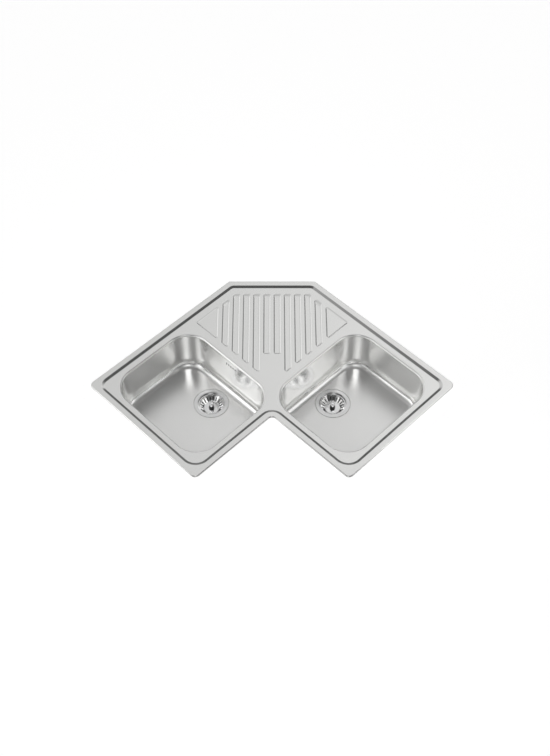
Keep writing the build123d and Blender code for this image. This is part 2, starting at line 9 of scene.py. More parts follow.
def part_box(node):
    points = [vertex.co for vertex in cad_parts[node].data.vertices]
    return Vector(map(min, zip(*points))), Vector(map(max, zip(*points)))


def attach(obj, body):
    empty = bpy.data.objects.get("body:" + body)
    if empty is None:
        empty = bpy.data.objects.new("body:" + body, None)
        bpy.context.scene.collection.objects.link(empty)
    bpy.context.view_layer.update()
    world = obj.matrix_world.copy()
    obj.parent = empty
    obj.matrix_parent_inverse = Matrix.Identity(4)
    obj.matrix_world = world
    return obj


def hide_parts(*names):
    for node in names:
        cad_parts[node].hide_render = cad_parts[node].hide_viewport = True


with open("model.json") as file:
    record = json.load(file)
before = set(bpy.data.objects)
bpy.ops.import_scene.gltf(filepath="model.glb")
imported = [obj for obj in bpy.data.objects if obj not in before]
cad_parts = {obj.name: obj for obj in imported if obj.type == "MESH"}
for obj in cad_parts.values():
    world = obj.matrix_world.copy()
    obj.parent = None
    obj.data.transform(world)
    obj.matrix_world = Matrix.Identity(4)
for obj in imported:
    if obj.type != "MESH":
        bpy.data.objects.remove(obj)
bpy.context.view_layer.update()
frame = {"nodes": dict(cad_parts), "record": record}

MM = 0.001
ROOT = "sink"

# ---------------------------------------------------------------- sizes read from the frame

DECK_LO, DECK_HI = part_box("sink_deck")
BOWL_LO, BOWL_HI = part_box("left_bowl")
FLANGE_LO, FLANGE_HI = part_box("left_waste_flange")
CORNER = DECK_HI.y                       # the room corner lies this far back and left of the origin
OVERALL = DECK_HI.x - DECK_LO.x
RIM_Z = DECK_HI.z
DECK_Z = BOWL_HI.z
BOWL_U0, BOWL_U1 = CORNER - BOWL_HI.y, CORNER - BOWL_LO.y
BOWL_V0, BOWL_V1 = CORNER + BOWL_LO.x, CORNER + BOWL_HI.x
FLOOR_Z = FLANGE_HI.z
DRAIN = (FLANGE_LO + FLANGE_HI) / 2
FLANGE_R = (FLANGE_HI.x - FLANGE_LO.x) / 2
BOWL_MARGIN = OVERALL - BOWL_U1
WING = BOWL_V1 + BOWL_MARGIN

# ---------------------------------------------------------------- sizes of the sheet, as in the solids

SHEET = 1.0 * MM
CORNER_CUT = 207 * MM
OUTLINE_RADII = {"chamfer": 12 * MM, "end": 17 * MM, "front": 17 * MM, "notch": 15 * MM}
LIP_R = 3.0 * MM
BAND = 19.5 * MM
STEP_RUN = 9.5 * MM
STEP_R = 4.0 * MM
WELL = BAND + STEP_RUN
WELL_RADII = {"chamfer": 15 * MM, "end": 25 * MM, "front": 42 * MM, "notch": OUTLINE_RADII["notch"] + WELL}

BOWL_CORNER_R = 85 * MM
LEAD_IN = 6 * MM
DRAFT = math.radians(2)
FLOOR_R = 25 * MM
SEAT_R = FLANGE_R + 1.5 * MM
SEAT_DEPTH = 2.6 * MM
SEAT_ROUND = 0.8 * MM
FLOOR_HOLE_R = 46 * MM
SLOTS = 5
SLOT_STEPS = 20
SLOT_PITCH = 10 * MM
SLOT_W = 3.5 * MM
SLOT_H = 9 * MM
SLOT_EDGE_R = 0.9 * MM           # the pierced edges are rolled in
SLOT_Z = -26 * MM
SLOT_FROM_BACK = 206.5 * MM

GROOVES = 10
GROOVE_PITCH = 34.4 * MM
GROOVE_W = 25 * MM
GROOVE_DEPTH = 2.5 * MM
GROOVE_SLOPE = 34.0              # degrees
GROOVE_CORNER_R = 7.0 * MM
GROOVE_EDGE_R = 2.5 * MM
GROOVE_FOOT_R = 7.0 * MM
GROOVE_RUN_OUT = 4.0             # how much longer the groove's rear slope is than its sides
DRAINER_INSET = 50 * MM
DRAINER_GAP = 26 * MM
CENTRE_GROOVE_END = 460 * MM
PANEL_GAP = 24 * MM

ROOT2 = math.sqrt(2)
WELD = 1e-7                      # points nearer than this are one

# How many steps each curve is drawn in.
OUTLINE_STEPS = {"chamfer": 8, "end": 14, "front": 18, "notch": 18}
LIP_STEPS = 8
STEP_ROUND_STEPS = 6
BOWL_CORNER_STEPS = 28
LEAD_STEPS = 8
FOOT_STEPS = 14
GROOVE_CORNER_STEPS = 5
GROOVE_EDGE_STEPS, GROOVE_FOOT_STEPS = 5, 7
DRAIN_STEPS = 96
SMALL_ROUND_STEPS = 3            # round the drain's seat and the overflow slots


def plan(u, v, z):
    """Model point of a plan place: u along the left wall and v along the right one, from the room corner."""
    return Vector((v - CORNER, CORNER - u, z))


# ---------------------------------------------------------------- metal sheet from loops with normals

class Sheet:
    """Points with their true normals, and faces between them, made into a closed sheet of even thickness."""

    def __init__(self, mirror=False):
        self.points, self.normals, self.faces = [], [], []
        self.mirror = mirror

    def add(self, point, normal):
        if self.mirror:
            point = Vector((-point.y, -point.x, point.z))
            normal = Vector((-normal.y, -normal.x, normal.z))
        self.points.append(Vector(point))
        self.normals.append(Vector(normal).normalized())
        return len(self.points) - 1

    def loop(self, pairs):
        return [self.add(point, normal) for point, normal in pairs]

    def face(self, indices):
        corners = [self.points[i] - self.points[indices[0]] for i in indices]
        across = sum((a.cross(b) for a, b in zip(corners[1:], corners[2:])), Vector())
        facing = sum((self.normals[i] for i in indices), Vector())
        self.faces.append(tuple(indices) if across.dot(facing) > 0 else tuple(reversed(indices)))

    def band(self, first, second, skip=()):
        """Quads between two loops of as many points."""
        count = len(first)
        for i in range(count):
            j = (i + 1) % count
            if i not in skip:
                self.face([first[i], first[j], second[j], second[i]])

    def bands(self, loops):
        for first, second in zip(loops, loops[1:]):
            self.band(first, second)

    def fill(self, outer, holes):
        """A flat stretch inside the outer loop and round the holes."""
        facing = self.normals[outer[0]]
        across = facing.orthogonal().normalized()
        along = facing.cross(across)
        order, flat, rings = [], [], []
        for loop in [outer, *holes]:
            places = [Vector((self.points[i].dot(across), self.points[i].dot(along))) for i in loop]
            ring = list(range(len(order), len(order) + len(loop)))
            area = sum(a.cross(b) for a, b in zip(places, places[1:] + places[:1]))
            rings.append(ring if area > 0 else ring[::-1])
            order += loop
            flat += places
        _, _, triangles, sources, _, owners = delaunay_2d_cdt(flat, [], rings, 1, WELD)
        for triangle, rings_round in zip(triangles, owners):
            if len(rings_round) == 1:
                self.faces.append(tuple(order[sources[k][0]] for k in triangle))

    def solid(self, name, thickness):
        """The mesh object: this skin, a second one under it, and the cut edges between them."""
        count = len(self.points)
        points = self.points + [p - n * thickness for p, n in zip(self.points, self.normals)]
        faces = list(self.faces)
        corner_normals = [[self.normals[i] for i in face] for face in self.faces]
        used = {}
        for face in self.faces:
            for a, b in zip(face, face[1:] + face[:1]):
                used[(a, b)] = True
        for face in self.faces:
            faces.append(tuple(i + count for i in reversed(face)))
            corner_normals.append([-self.normals[i] for i in reversed(face)])
        for a, b in used:
            if (b, a) not in used:
                wall = (b, a, a + count, b + count)
                side = (points[a] - points[b]).cross(points[a + count] - points[a]).normalized()
                faces.append(wall)
                corner_normals.append([side] * 4)
        return mesh_object(name, points, faces, corner_normals)


def mesh_object(name, points, faces, corner_normals=None):
    mesh = bpy.data.meshes.new(name)
    mesh.from_pydata([tuple(p) for p in points], [], faces)
    mesh.polygons.foreach_set("use_smooth", [True] * len(mesh.polygons))
    if corner_normals:
        mesh.normals_split_custom_set([tuple(n) for corner in corner_normals for n in corner])
    mesh.update()
    piece = bpy.data.objects.new(name, mesh)
    bpy.context.scene.collection.objects.link(piece)
    return piece


# ---------------------------------------------------------------- plan outlines

def rounded(corners, radii, steps, inset=0.0):
    """Points and outward plan normals round a polygon given anticlockwise or clockwise, set in by a distance.

    Each corner keeps its own number of steps, so that loops at different insets can be joined point to point.
    """
    count = len(corners)
    area = sum(a[0] * b[1] - a[1] * b[0] for a, b in zip(corners, corners[1:] + corners[:1]))
    turn = 1 if area > 0 else -1
    lines = []
    for i in range(count):
        (ax, ay), (bx, by) = corners[i], corners[(i + 1) % count]
        length = math.hypot(bx - ax, by - ay)
        dx, dy = (bx - ax) / length, (by - ay) / length
        out = (dy * turn, -dx * turn)
        lines.append(((ax - out[0] * inset, ay - out[1] * inset), (dx, dy), out))
    pairs = []
    for i in range(count):
        (px, py), (dx, dy), out_in = lines[i - 1]
        (qx, qy), (ex, ey), _ = lines[i]
        cross = dx * ey - dy * ex
        t = ((qx - px) * ey - (qy - py) * ex) / cross
        cx, cy = px + dx * t, py + dy * t
        convex = cross * turn > 0
        radius = radii[i] - inset if convex else radii[i] + inset
        half = math.acos(max(-1, min(1, dx * ex + dy * ey))) / 2
        back = radius * math.tan(half)
        sx, sy = cx - dx * back, cy - dy * back
        side = -1 if convex else 1
        ox, oy = sx + out_in[0] * side * radius, sy + out_in[1] * side * radius
        start = math.atan2(out_in[1], out_in[0])
        sweep = math.copysign(2 * half, cross)
        for k in range(steps[i] + 1):
            angle = start + sweep * k / steps[i]
            nx, ny = math.cos(angle), math.sin(angle)
            pairs.append(((ox - side * nx * radius, oy - side * ny * radius), (nx, ny)))
    return pairs


def deck_corners():
    """Corners of the deck's outline in plan, with the name of each corner's radius."""
    right = [
        ((CORNER_CUT, 0.0), "chamfer"),
        ((OVERALL, 0.0), "end"),
        ((OVERALL, WING), "front"),
    ]
    left = [((v, u), name) for (u, v), name in reversed(right)]
    return right + [((WING, WING), "notch")] + left


def deck_loop(sheet, inset, z, radii, lean, base=0.0):
    """One loop round the deck: lean is the profile's normal as (inward, up), base where the radii hold."""
    named = deck_corners()
    corners = [place for place, _ in named]
    steps = [OUTLINE_STEPS[name] for _, name in named]
    shifted = [radii[name] + base if name != "notch" else radii[name] - base for _, name in named]
    pairs = []
    for (u, v), (nu, nv) in rounded(corners, shifted, steps, inset):
        inward, up = lean
        pairs.append((plan(u, v, z), Vector((-nv * inward, nu * inward, up))))
    return sheet.loop(pairs)


def arc(start, end, steps):
    """Angles of an arc in degrees, ends included."""
    return [math.radians(start + (end - start) * k / steps) for k in range(steps + 1)]


def bent(inset, z, radius, angles, hollow=False):
    """Inset, height and lean round an arc about a centre, which lies above the sheet where it is hollow."""
    side = -radius if hollow else radius
    return [(inset + side * math.cos(a), z + side * math.sin(a), (math.cos(a), math.sin(a))) for a in angles]


# ---------------------------------------------------------------- the deck

def step_profile():
    """Inset, height and lean along the sloped step, from the raised band down to the deck plane."""
    drop = RIM_Z - DECK_Z
    slope = math.degrees(math.atan2(drop, STEP_RUN))
    tangent = STEP_R * math.tan(math.radians(slope) / 2)
    upper = bent(BAND - tangent, RIM_Z - STEP_R, STEP_R, arc(90, 90 - slope, STEP_ROUND_STEPS))
    lower = bent(WELL + tangent, DECK_Z + STEP_R, STEP_R, arc(90 - slope, 90, STEP_ROUND_STEPS), hollow=True)
    return upper + lower


def groove_zone(x0, x1, front, sink=0.0):
    """Corners of one groove in plan, between two lines parallel to the sink's axis of symmetry.

    Sink is how far down the slopes this outline lies, as an inset. The rear end runs out more gently than
    the sides.
    """
    run_out = sink * (GROOVE_RUN_OUT - 1)
    flat_back = CORNER_CUT / ROOT2 + DRAINER_INSET
    bend = flat_back - DRAINER_INSET * ROOT2
    side_end = BOWL_U0 - DRAINER_GAP

    def back(x):
        return max(flat_back, abs(x) + DRAINER_INSET * ROOT2) + run_out

    def end(x):
        return min(front, side_end * ROOT2 - abs(x))

    corners = [(x0, back(x0))]
    if x0 < bend < x1:
        corners.append((bend, back(bend)))
    corners += [(x1, back(x1)), (x1, end(x1)), (x0, end(x0))]
    return [((y - x) / ROOT2, (y + x) / ROOT2) for x, y in corners]


def panel_zone(_sink=0.0):
    """Corners of the triangular panel beside the outermost groove. Its slopes are alike on every side."""
    side_end = BOWL_U0 - DRAINER_GAP
    start = GROOVE_PITCH * (GROOVES / 2 - 0.5) + PANEL_GAP
    panel = [
        (start, start + DRAINER_INSET * ROOT2),
        ((side_end - DRAINER_INSET) / ROOT2, (side_end + DRAINER_INSET) / ROOT2),
        (start, side_end * ROOT2 - start),
    ]
    return [((y - x) / ROOT2, (y + x) / ROOT2) for x, y in panel]


def groove_makers():
    """For every pressing of the drainer, a function that gives its outline for a place on its slopes."""
    def groove(number):
        middle = GROOVE_PITCH * (number + 0.5)
        front = CENTRE_GROOVE_END if number == 0 else OVERALL
        return lambda sink: groove_zone(middle - GROOVE_W / 2, middle + GROOVE_W / 2, front, sink)

    right = [groove(number) for number in range(GROOVES // 2)] + [panel_zone]

    def swapped(maker):
        return lambda sink: [(v, u) for u, v in maker(sink)]

    return right + [swapped(maker) for maker in right]


def groove_profile():
    """Inset, height and lean down a groove's side: small round, slope, then a large round into its floor."""
    slope = math.radians(GROOVE_SLOPE)
    rounds = (GROOVE_EDGE_R + GROOVE_FOOT_R) * (1 - math.cos(slope))
    straight = max(0.0, GROOVE_DEPTH - rounds) / math.tan(slope)
    run = (GROOVE_EDGE_R + GROOVE_FOOT_R) * math.sin(slope) + straight
    edge = bent(0.0, DECK_Z - GROOVE_EDGE_R, GROOVE_EDGE_R, arc(90, 90 - GROOVE_SLOPE, GROOVE_EDGE_STEPS))
    foot = bent(run, DECK_Z - GROOVE_DEPTH + GROOVE_FOOT_R, GROOVE_FOOT_R,
                arc(90 - GROOVE_SLOPE, 90, GROOVE_FOOT_STEPS), hollow=True)
    return edge + foot


def press(sheet, maker):
    """A shallow pressing with sloped sides and rounded edges; gives back its outer loop."""
    loops = []
    for inset, z, (lean, up) in groove_profile():
        zone = maker(inset)
        radii, steps = [GROOVE_CORNER_R] * len(zone), [GROOVE_CORNER_STEPS] * len(zone)
        pairs = []
        for (u, v), (nu, nv) in rounded(zone, radii, steps, inset):
            stretch = 1 + (GROOVE_RUN_OUT - 1) * max(0.0, -(nu + nv) / ROOT2)
            inward = lean / stretch
            pairs.append((plan(u, v, z), Vector((-nv * inward, nu * inward, up))))
        loops.append(sheet.loop(pairs))
    sheet.bands(loops)
    sheet.fill(loops[-1], [])
    return loops[0]


def opening_loop(sheet, inset, z, lean, mirror=False):
    """One loop round a bowl opening: lean is the profile's normal as (into the bowl, up)."""
    corners = [(BOWL_U0, BOWL_V0), (BOWL_U1, BOWL_V0), (BOWL_U1, BOWL_V1), (BOWL_U0, BOWL_V1)]
    pairs = []
    for (u, v), (nu, nv) in rounded(corners, [BOWL_CORNER_R] * 4, [BOWL_CORNER_STEPS] * 4, inset):
        inward, up = lean
        if mirror:
            u, v, nu, nv = v, u, nv, nu
        pairs.append((plan(u, v, z), Vector((-nv * inward, nu * inward, up))))
    return sheet.loop(pairs)


def make_deck():
    sheet = Sheet()
    rim = [deck_loop(sheet, 0.0, 0.0, OUTLINE_RADII, (-1, 0))]
    for inset, z, lean in bent(LIP_R, RIM_Z - LIP_R, LIP_R, arc(180, 90, LIP_STEPS)):
        rim.append(deck_loop(sheet, inset, z, OUTLINE_RADII, lean))
    sheet.bands(rim)
    step = [deck_loop(sheet, inset, z, WELL_RADII, lean, base=WELL) for inset, z, lean in step_profile()]
    sheet.bands(step)
    sheet.fill(rim[-1], [step[0]])
    holes = [press(sheet, maker) for maker in groove_makers()]
    holes.append(opening_loop(sheet, 0.0, DECK_Z, (0, 1)))
    holes.append(opening_loop(sheet, 0.0, DECK_Z, (0, 1), mirror=True))
    sheet.fill(step[-1], holes)
    deck = sheet.solid("deck_pressing", SHEET)
    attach(deck, ROOT)
    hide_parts("sink_deck")
    return deck


# ---------------------------------------------------------------- the bowls

def bowl_profile():
    """Inset, height and lean over the lead-in, and then from the drafted wall's foot round to the floor."""
    draft = math.degrees(DRAFT)
    lead = bent(0.0, DECK_Z - LEAD_IN, LEAD_IN, arc(90, draft, LEAD_STEPS))
    foot_z = FLOOR_Z + FLOOR_R - FLOOR_R * math.sin(DRAFT)
    centre = lead[-1][0] + (lead[-1][1] - foot_z) * math.tan(DRAFT) + FLOOR_R * math.cos(DRAFT)
    foot = bent(centre, FLOOR_Z + FLOOR_R, FLOOR_R, arc(draft, 90, FOOT_STEPS), hollow=True)
    return lead, foot


def ring(sheet, radius, z, lean):
    """A circle about the drain; lean is (outwards, up)."""
    middle, upward = Vector((DRAIN.x, DRAIN.y, z)), Vector((0, 0, lean[1]))
    pairs = []
    for k in range(DRAIN_STEPS):
        angle = 2 * math.pi * k / DRAIN_STEPS
        outward = Vector((math.cos(angle), math.sin(angle), 0))
        pairs.append((middle + outward * radius, outward * lean[0] + upward))
    return sheet.loop(pairs)


def slot_loops(sheet, lead_end):
    """The rolled-in edges of the overflow slots, on the drainer-side wall; gives back their outer loops."""
    inset, z0, _ = lead_end
    facing = Vector((0, -math.cos(DRAFT), math.sin(DRAFT)))
    rising = Vector((0, math.sin(DRAFT), math.cos(DRAFT)))
    straight = (SLOT_H - SLOT_W) / 2
    u = BOWL_U0 + inset + (z0 - SLOT_Z) * math.tan(DRAFT)
    outer = []
    for number in range(SLOTS):
        centre = plan(u, BOWL_V0 + SLOT_FROM_BACK + (number - (SLOTS - 1) / 2) * SLOT_PITCH, SLOT_Z)
        loops = []
        for a in arc(90, 0, SMALL_ROUND_STEPS):
            reach = SLOT_W / 2 + SLOT_EDGE_R * (1 - math.cos(a))
            depth = SLOT_EDGE_R * (1 - math.sin(a))
            pairs = []
            for k in range(SLOT_STEPS):
                turn = 2 * math.pi * (k + 0.5) / SLOT_STEPS
                outward = Vector((math.cos(turn), 0, 0)) + rising * math.sin(turn)
                end = rising * math.copysign(straight, math.sin(turn))
                place = centre + outward * reach + end - facing * depth
                pairs.append((place, facing * math.sin(a) - outward * math.cos(a)))
            loops.append(sheet.loop(pairs))
        sheet.bands(loops)
        outer.append(loops[0])
    return outer


def make_bowl(side):
    sheet = Sheet(mirror=side == "right")
    lead, foot = bowl_profile()
    lead_loops = [opening_loop(sheet, *row) for row in lead]
    foot_loops = [opening_loop(sheet, *row) for row in foot]
    sheet.bands(lead_loops)
    sheet.bands(foot_loops)
    top, bottom = lead_loops[-1], foot_loops[0]
    count = len(top)
    panel = count - 1
    sheet.band(top, bottom, skip=(panel,))
    panel_corners = [top[panel], top[0], bottom[0], bottom[panel]]
    holes = slot_loops(sheet, lead[-1]) if side == "left" else []
    sheet.fill(panel_corners, holes)
    seat_z = FLOOR_Z - SEAT_DEPTH
    seat = []
    for a in arc(90, 0, SMALL_ROUND_STEPS):
        across, down = SEAT_ROUND * (1 - math.cos(a)), SEAT_ROUND * (1 - math.sin(a))
        seat.append(ring(sheet, SEAT_R + across, FLOOR_Z - down, (-math.cos(a), math.sin(a))))
    for a in arc(0, 90, SMALL_ROUND_STEPS):
        across, rise = SEAT_ROUND * (1 - math.cos(a)), SEAT_ROUND * (1 - math.sin(a))
        seat.append(ring(sheet, SEAT_R - across, seat_z + rise, (-math.cos(a), math.sin(a))))
    seat.append(ring(sheet, FLOOR_HOLE_R, seat_z, (0, 1)))
    sheet.fill(foot_loops[-1], [seat[0]])
    sheet.bands(seat)
    bowl = sheet.solid(side + "_bowl_pressing", SHEET)
    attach(bowl, ROOT)
    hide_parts(side + "_bowl")
    return bowl


# ---------------------------------------------------------------- materials

NOISE_LOW, NOISE_HIGH = 0.3, 0.7    # noise seldom goes past these


class Nodes:
    """The node tree of a new material, or of the world, with short calls for the nodes used here."""

    def __init__(self, tree):
        if isinstance(tree, str):
            self.material = bpy.data.materials.new(tree)
            self.material.use_nodes = True
            tree = self.material.node_tree
        self.tree = tree
        self.shader = tree.nodes.get("Principled BSDF")

    def add(self, kind, **settings):
        node = self.tree.nodes.new(kind)
        for key, value in settings.items():
            setattr(node, key, value)
        return node

    def link(self, source, target):
        self.tree.links.new(source, target)

    def place(self, scale, turn=(0, 0, 0)):
        """Object coordinates, turned and scaled."""
        coordinates = self.add("ShaderNodeTexCoord")
        mapping = self.add("ShaderNodeMapping")
        mapping.inputs["Scale"].default_value = scale
        mapping.inputs["Rotation"].default_value = turn
        self.link(coordinates.outputs["Object"], mapping.inputs["Vector"])
        return mapping.outputs["Vector"]

    def noise(self, vector, scale, detail=3.0, roughness=0.5):
        node = self.add("ShaderNodeTexNoise")
        node.inputs["Scale"].default_value = scale
        node.inputs["Detail"].default_value = detail
        node.inputs["Roughness"].default_value = roughness
        self.link(vector, node.inputs["Vector"])
        return node.outputs["Fac"]

    def span(self, value, low, high):
        """A value from noise, spread from low to high."""
        node = self.add("ShaderNodeMapRange")
        node.inputs["From Min"].default_value = NOISE_LOW
        node.inputs["From Max"].default_value = NOISE_HIGH
        node.inputs["To Min"].default_value = low
        node.inputs["To Max"].default_value = high
        self.link(value, node.inputs["Value"])
        return node.outputs["Result"]

    def ramp(self, value, low, high, start=0.0, end=1.0):
        """A smooth change from start to end as the value goes from low to high."""
        node = self.add("ShaderNodeMapRange", interpolation_type="SMOOTHSTEP")
        for key, number in (("From Min", low), ("From Max", high), ("To Min", start), ("To Max", end)):
            node.inputs[key].default_value = number
        self.link(value, node.inputs["Value"])
        return node.outputs["Result"]

    def math(self, operation, *values):
        node = self.add("ShaderNodeMath", operation=operation)
        for socket, value in zip(node.inputs, values):
            if isinstance(value, bpy.types.NodeSocket):
                self.link(value, socket)
            else:
                socket.default_value = value
        return node.outputs[0]

    def tint(self, value, dark, light):
        node = self.add("ShaderNodeMix", data_type="RGBA")
        node.inputs["A"].default_value = (*dark, 1)
        node.inputs["B"].default_value = (*light, 1)
        self.link(value, node.inputs["Factor"])
        return node.outputs["Result"]

    def shade(self, colour, distance, low, high, darkest):
        """Painted shade: the colour, darker where the surface lies in a cavity narrower than the distance."""
        cavity = self.add("ShaderNodeAmbientOcclusion")
        cavity.inputs["Distance"].default_value = distance
        shaded = self.add("ShaderNodeVectorMath", operation="SCALE")
        self.link(colour, shaded.inputs[0])
        self.link(self.ramp(cavity.outputs["AO"], low, high, darkest, 1.0), shaded.inputs["Scale"])
        return shaded.outputs["Vector"]

    def bump(self, height, strength, distance, normal=None):
        node = self.add("ShaderNodeBump")
        node.inputs["Strength"].default_value = strength
        node.inputs["Distance"].default_value = distance
        self.link(height, node.inputs["Height"])
        if normal is not None:
            self.link(normal, node.inputs["Normal"])
        return node.outputs["Normal"]

    def set(self, **values):
        for key, value in values.items():
            socket = self.shader.inputs[key.replace("_", " ")]
            if isinstance(value, bpy.types.NodeSocket):
                self.link(value, socket)
            else:
                socket.default_value = value
        return self.material


LIP_ROUGH = 0.38     # the bowls' edge is brushed, not polished
FLOOR_PAINTED_LIGHT = 1.1  # painted light: the bowls' floor is painted lighter than their walls, for the brighter light it catches


def steel(name, light, dark, rough, grain_turn=0.0, grain=0.35, waves=0.2, floor=None, cavity=None):
    """Satin stainless steel: fine grain lines, soft cloudiness, and the slight waves of pressed sheet.

    Floor, for the bowls, is the roughness and the share of mirror-like metal that the finish comes to on the
    floor, where the colour is also painted lighter as painted light; their edge is rougher too. Cavity is the
    painted shade that darkens the steel inside a strainer.
    """
    n = Nodes(name)
    lines = n.noise(n.place((40, 1600, 40), (0, 0, grain_turn)), 1.0, detail=4.0)
    cloud = n.noise(n.place((1, 1, 1)), 9.0, detail=2.0)
    slow = n.noise(n.place((1, 1, 1)), 4.0, detail=1.0)
    ripple = n.bump(slow, waves, 0.004)
    grained = n.bump(lines, grain, 0.00003, ripple)
    mixed = n.math("MULTIPLY_ADD", lines, 0.4, n.math("MULTIPLY", cloud, 0.6))
    colour = n.tint(n.span(mixed, 0.0, 1.0), dark, light)
    roughness = n.span(mixed, rough[0], rough[1])
    metallic = 1.0
    if cavity:
        # painted shade: the steel's colour darkens inside the strainer cup
        colour = n.shade(colour, *cavity)
    if floor:
        floor_rough, floor_metal = floor
        height = n.add("ShaderNodeSeparateXYZ")
        n.link(n.add("ShaderNodeTexCoord").outputs["Object"], height.inputs[0])
        near_floor = n.ramp(height.outputs["Z"], FLOOR_Z + FLOOR_R * 0.7, FLOOR_Z + FLOOR_R * 0.05)
        roughness = n.math("MULTIPLY_ADD", near_floor, floor_rough - rough[1], roughness)
        metallic = n.math("MULTIPLY_ADD", near_floor, floor_metal - 1.0, 1.0)
        # painted light: the colour is scaled lighter near the floor
        painted_light_floor = n.add("ShaderNodeVectorMath", operation="SCALE")
        n.link(colour, painted_light_floor.inputs[0])
        n.link(n.math("MULTIPLY_ADD", near_floor, FLOOR_PAINTED_LIGHT - 1.0, 1.0), painted_light_floor.inputs["Scale"])
        colour = painted_light_floor.outputs["Vector"]
        near_lip = n.ramp(height.outputs["Z"], DECK_Z - LEAD_IN, DECK_Z - LEAD_IN * 0.6)
        roughness = n.math("MULTIPLY_ADD", near_lip, LIP_ROUGH - rough[1], roughness)
    return n.set(Base_Color=colour, Metallic=metallic, Roughness=roughness, Normal=grained)


def plain(name, light, dark, rough, scale=60.0, height=0.2, distance=0.0004, metallic=0.0, cavity=None):
    """Moulded plastic, rubber or plated metal: a speckled colour, uneven gloss and a fine skin, with painted
    shade in hollows where a cavity is given.
    """
    n = Nodes(name)
    speck = n.noise(n.place((1, 1, 1)), scale, detail=5.0, roughness=0.65)
    skin = n.noise(n.place((1, 1, 1)), scale * 14, detail=2.0)
    colour = n.tint(n.span(speck, 0.0, 1.0), dark, light)
    if cavity:
        colour = n.shade(colour, *cavity)
    return n.set(Base_Color=colour, Metallic=metallic, Roughness=n.span(speck, rough[0], rough[1]),
                 Normal=n.bump(skin, height, distance))


def embossed(name, light, dark, cell, height):
    """Damping sheet with a pressed diamond pattern."""
    n = Nodes(name)
    waves = []
    for turn in (math.radians(45), math.radians(-45)):
        node = n.add("ShaderNodeTexWave", wave_type="BANDS", bands_direction="X", wave_profile="SIN")
        node.inputs["Scale"].default_value = 1.0 / cell
        n.link(n.place((1, 1, 1), (0, 0, turn)), node.inputs["Vector"])
        waves.append(node.outputs["Fac"])
    both = n.add("ShaderNodeMath", operation="MINIMUM")
    n.link(waves[0], both.inputs[0])
    n.link(waves[1], both.inputs[1])
    speck = n.noise(n.place((1, 1, 1)), 180.0, detail=4.0)
    colour = n.tint(n.span(speck, 0.0, 1.0), dark, light)
    pressed = n.bump(both.outputs[0], 0.8, height)
    return n.set(Base_Color=colour, Roughness=n.span(speck, 0.6, 0.8), Normal=pressed)


# Painted shade in cavities: cavity size, openness from darkest to full colour, and the darkest share.
CUP_PAINTED_SHADE = (30 * MM, 0.25, 0.8, 0.2)
CHAMBER_PAINTED_SHADE = (60 * MM, 0.4, 0.8, 0.02)


def make_materials():
    diagonal = math.radians(45)
    return {
        "deck": steel("deck_steel", (0.83, 0.83, 0.82), (0.79, 0.79, 0.78), (0.15, 0.21), diagonal, 0.12,
                      0.08),
        "bowl": steel("bowl_steel", (0.89, 0.89, 0.88), (0.84, 0.84, 0.83), (0.16, 0.22), 0.0, 0.12, 0.12,
                      floor=(0.36, 0.70)),
        # the flange and strainer steel get painted shade inside their cups
        "flange": steel("flange_steel", (0.84, 0.84, 0.84), (0.79, 0.79, 0.79), (0.28, 0.36), 0.0, 0.15, 0.0,
                        cavity=CUP_PAINTED_SHADE),
        "bright": steel("strainer_steel", (0.84, 0.84, 0.84), (0.78, 0.78, 0.78), (0.10, 0.18), 0.0, 0.15,
                        0.0, cavity=CUP_PAINTED_SHADE),
        "chrome": plain("knob_chrome", (0.86, 0.86, 0.87), (0.82, 0.82, 0.83), (0.05, 0.10), 40, 0.05, 0.0001,
                        metallic=1.0),
        "zinc": plain("zinc_plate", (0.66, 0.67, 0.69), (0.55, 0.56, 0.60), (0.28, 0.42), 90, 0.15, 0.0002,
                      metallic=1.0),
        "rubber": plain("black_rubber", (0.035, 0.035, 0.037), (0.02, 0.02, 0.021), (0.45, 0.62), 120, 0.3),
        "foam": plain("seal_foam", (0.25, 0.25, 0.26), (0.17, 0.17, 0.18), (0.75, 0.9), 400, 0.6, 0.0006),
        "gasket": plain("white_gasket", (0.80, 0.80, 0.78), (0.72, 0.72, 0.70), (0.5, 0.65), 100, 0.2),
        # painted shade darkens the plastic inside the waste and overflow chambers
        "plastic": plain("white_polypropylene", (0.80, 0.80, 0.79), (0.75, 0.75, 0.74), (0.34, 0.48), 70,
                         0.15, cavity=CHAMBER_PAINTED_SHADE),
        "pad": embossed("damping_sheet", (0.10, 0.10, 0.105), (0.07, 0.07, 0.075), 0.012, 0.0008),
    }


SLOT_MATERIALS = {
    "steel": "deck", "bright_steel": "bright", "chrome": "chrome", "zinc": "zinc", "rubber": "rubber",
    "seal_foam": "foam", "white_gasket": "gasket", "waste_plastic": "plastic", "bitumen": "pad",
}


def finish_piece(piece, material):
    piece.data.materials.clear()
    piece.data.materials.append(material)


def dress_cad_nodes(materials):
    """Each carried-over node takes the finish of its material slot, and the flanges a duller one."""
    for part in frame["record"]["subparts"]:
        name = part["node"]
        finish = "flange" if name.endswith("waste_flange") else SLOT_MATERIALS[part["material_slot"]]
        finish_piece(frame["nodes"][name], materials[finish])


# ---------------------------------------------------------------- studio

FLOOR_LEVEL = -0.9               # the room's floor under a worktop of the usual height
VIEW_PLAN = 2014.0 * MM          # the camera stands this far along both walls from the room corner
VIEW_HEIGHT = 3046.8 * MM
AIM_PLAN = 394.07 * MM
IMAGE_HEIGHT = 756
FOCAL_PIXELS = 1186.0
AXIS_PIXEL, IMAGE_MIDDLE = 272.03, 275.0
WORKTOP_INSIDE = 12 * MM         # edge of the cut-out, in from the sink's edge
WORKTOP_OUTSIDE = 38 * MM
WORKTOP_SHEET = 2 * MM
STAGE_HALF = 8.0
WHITE = 0.8                      # colour of the floor and the worktop
WHITE_GLOW = 0.7                 # their own light for the camera
FLOOR_MIRRORED, WORKTOP_MIRRORED = 0.3, 0.1


def room(x, y, z):
    """A place in the room: x right of the sink's axis, y out from the room corner, z above the worktop."""
    return plan((y - x) / ROOT2, (y + x) / ROOT2, z)


